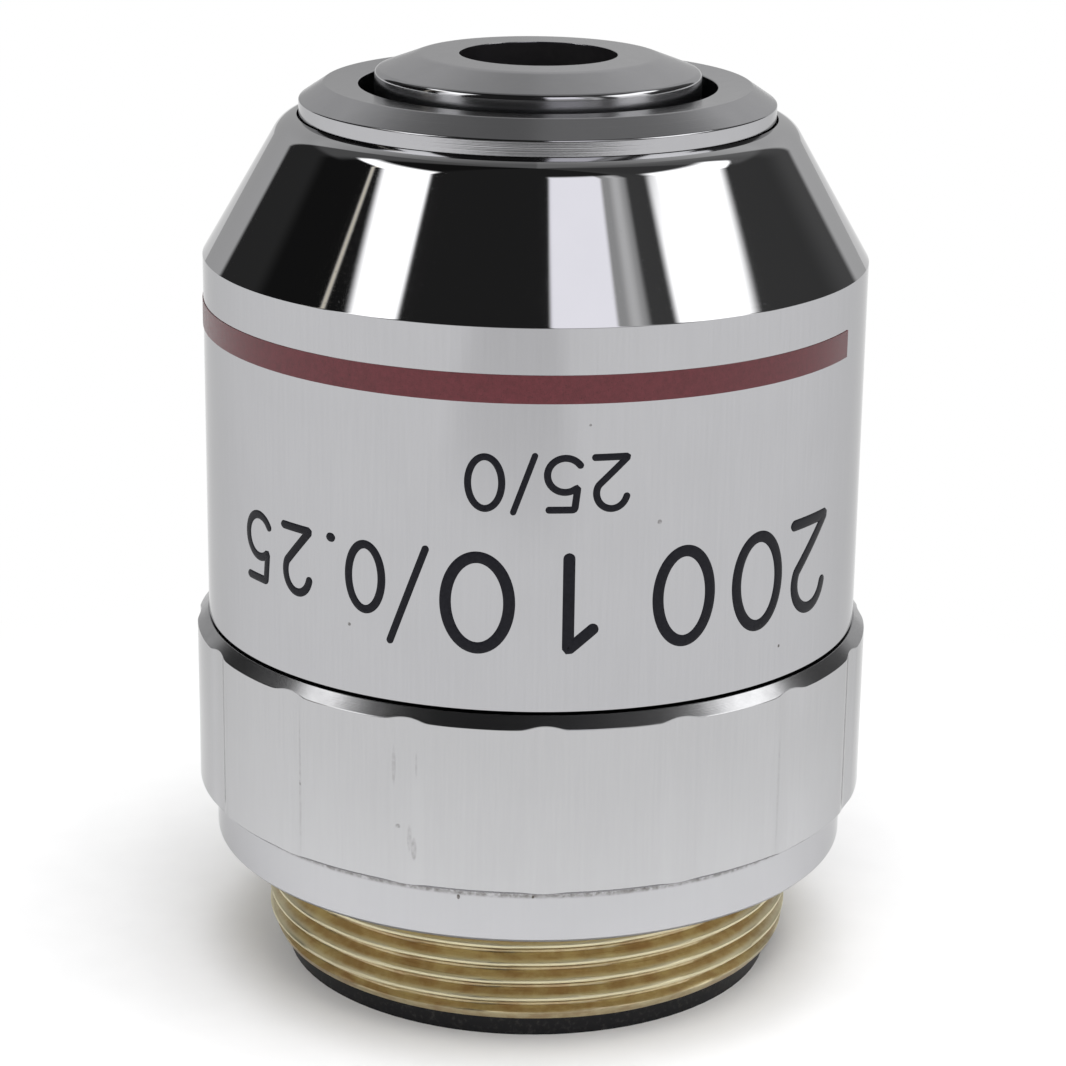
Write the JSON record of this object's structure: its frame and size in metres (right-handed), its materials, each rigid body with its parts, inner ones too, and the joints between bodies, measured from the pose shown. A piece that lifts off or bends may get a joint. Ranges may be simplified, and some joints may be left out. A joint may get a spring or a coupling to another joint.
{
  "type": "microscope objective",
  "caption": "Low-power, long-working-distance microscope objective: chromed sleeve with polished cone and red band, fluted ring, brass thread.",
  "frame": {"origin": "on the optical axis, at the rear face of the light stop behind the thread, which the objective stands on", "axes": "+Z along the optical axis, from the thread towards the specimen; the part is turned, so +X and +Y are free, with the pictured side towards -Y"},
  "size_m": [0.0256, 0.0256, 0.0349],
  "materials": {
    "satin_chrome": "satin chrome plate, polished on the cone",
    "bright_chrome": "bright chrome plate, finely turned",
    "brass": "bare brass, as turned",
    "blackened_brass": "matt black oxide",
    "black_anodised": "black anodised",
    "red_print": "dark red screen print",
    "coated_glass": "polished, with an anti-reflection coating"
  },
  "bodies": {
    "root": {"rear_stop": "black_anodised", "mount_body": "brass", "grip_ring": "satin_chrome", "outer_sleeve": "satin_chrome", "colour_band": "red_print", "nose_cap": "bright_chrome", "front_cell": "bright_chrome", "front_lens": "coated_glass", "front_retainer": "blackened_brass", "inner_barrel": "blackened_brass", "middle_cell": "blackened_brass", "middle_crown": "coated_glass", "middle_flint": "coated_glass", "middle_retainer": "blackened_brass", "aperture_stop": "black_anodised", "front_spacer": "blackened_brass", "rear_cell": "blackened_brass", "rear_crown": "coated_glass", "rear_flint": "coated_glass", "rear_cell_retainer": "blackened_brass", "rear_spacer": "blackened_brass", "collector_cell": "blackened_brass", "collector_lens": "coated_glass", "collector_retainer": "blackened_brass", "barrel_retainer": "blackened_brass", "parfocal_shim": "brass", "lock_ring": "brass"}
  },
  "joints": []
}
